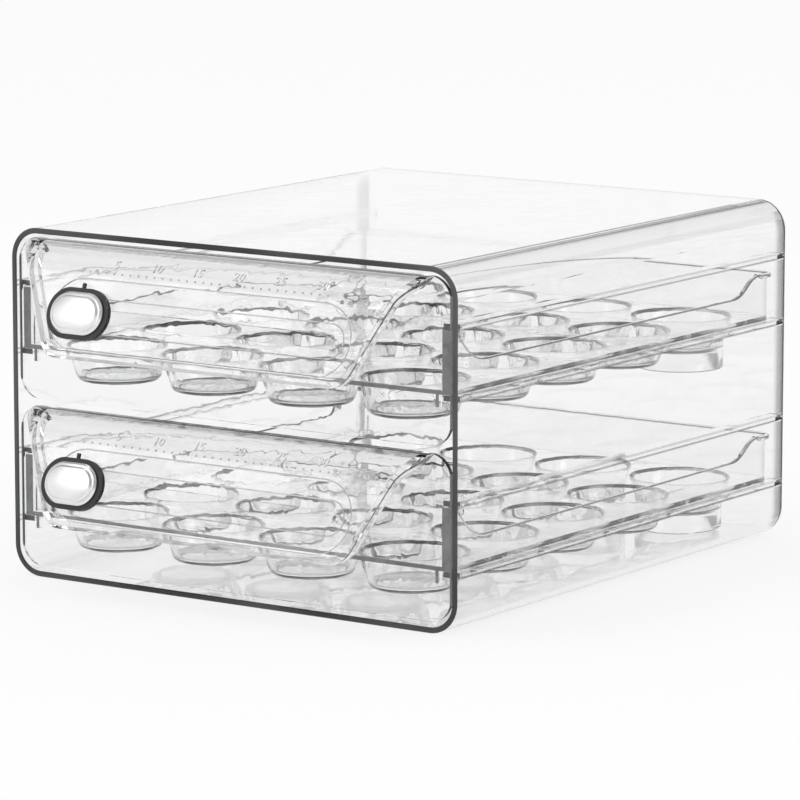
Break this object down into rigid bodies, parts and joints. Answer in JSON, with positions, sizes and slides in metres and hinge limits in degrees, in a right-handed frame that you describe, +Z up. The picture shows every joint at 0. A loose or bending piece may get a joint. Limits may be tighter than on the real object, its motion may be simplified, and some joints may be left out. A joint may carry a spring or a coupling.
{
  "type": "egg storage drawer",
  "caption": "Clear two-tier fridge box for eggs: two pull-out cup trays in one casing, each with a curved pull flap and a sliding day marker.",
  "frame": {"origin": "centre of the casing's flat underside", "axes": "+X to the right seen from the front, +Y from the drawers' fronts to the casing's back, +Z up"},
  "size_m": [0.24, 0.304, 0.158],
  "materials": {
    "clear_plastic": "clear, polished",
    "marker_charcoal": "satin charcoal",
    "marker_silver": "silver, satin metallic"
  },
  "bodies": {
    "casing": {"casing": "clear_plastic"},
    "lower_drawer": {"lower_tray": "clear_plastic", "lower_front": "clear_plastic"},
    "lower_marker": {"lower_marker_base": "marker_charcoal", "lower_marker_cap": "marker_silver", "lower_marker_clip": "marker_charcoal"},
    "upper_drawer": {"upper_tray": "clear_plastic", "upper_front": "clear_plastic"},
    "upper_marker": {"upper_marker_base": "marker_charcoal", "upper_marker_cap": "marker_silver", "upper_marker_clip": "marker_charcoal"}
  },
  "joints": [
    {"name": "lower_drawer_slide", "type": "slide", "parent": "casing", "child": "lower_drawer", "axis": [0, -1, 0], "range_m": [0, 0.2]},
    {"name": "lower_marker_slide", "type": "slide", "parent": "lower_drawer", "child": "lower_marker", "axis": [1, 0, 0], "range_m": [0, 0.1325]},
    {"name": "upper_drawer_slide", "type": "slide", "parent": "casing", "child": "upper_drawer", "axis": [0, -1, 0], "range_m": [0, 0.2]},
    {"name": "upper_marker_slide", "type": "slide", "parent": "upper_drawer", "child": "upper_marker", "axis": [1, 0, 0], "range_m": [-0.0042, 0.1283]}
  ]
}
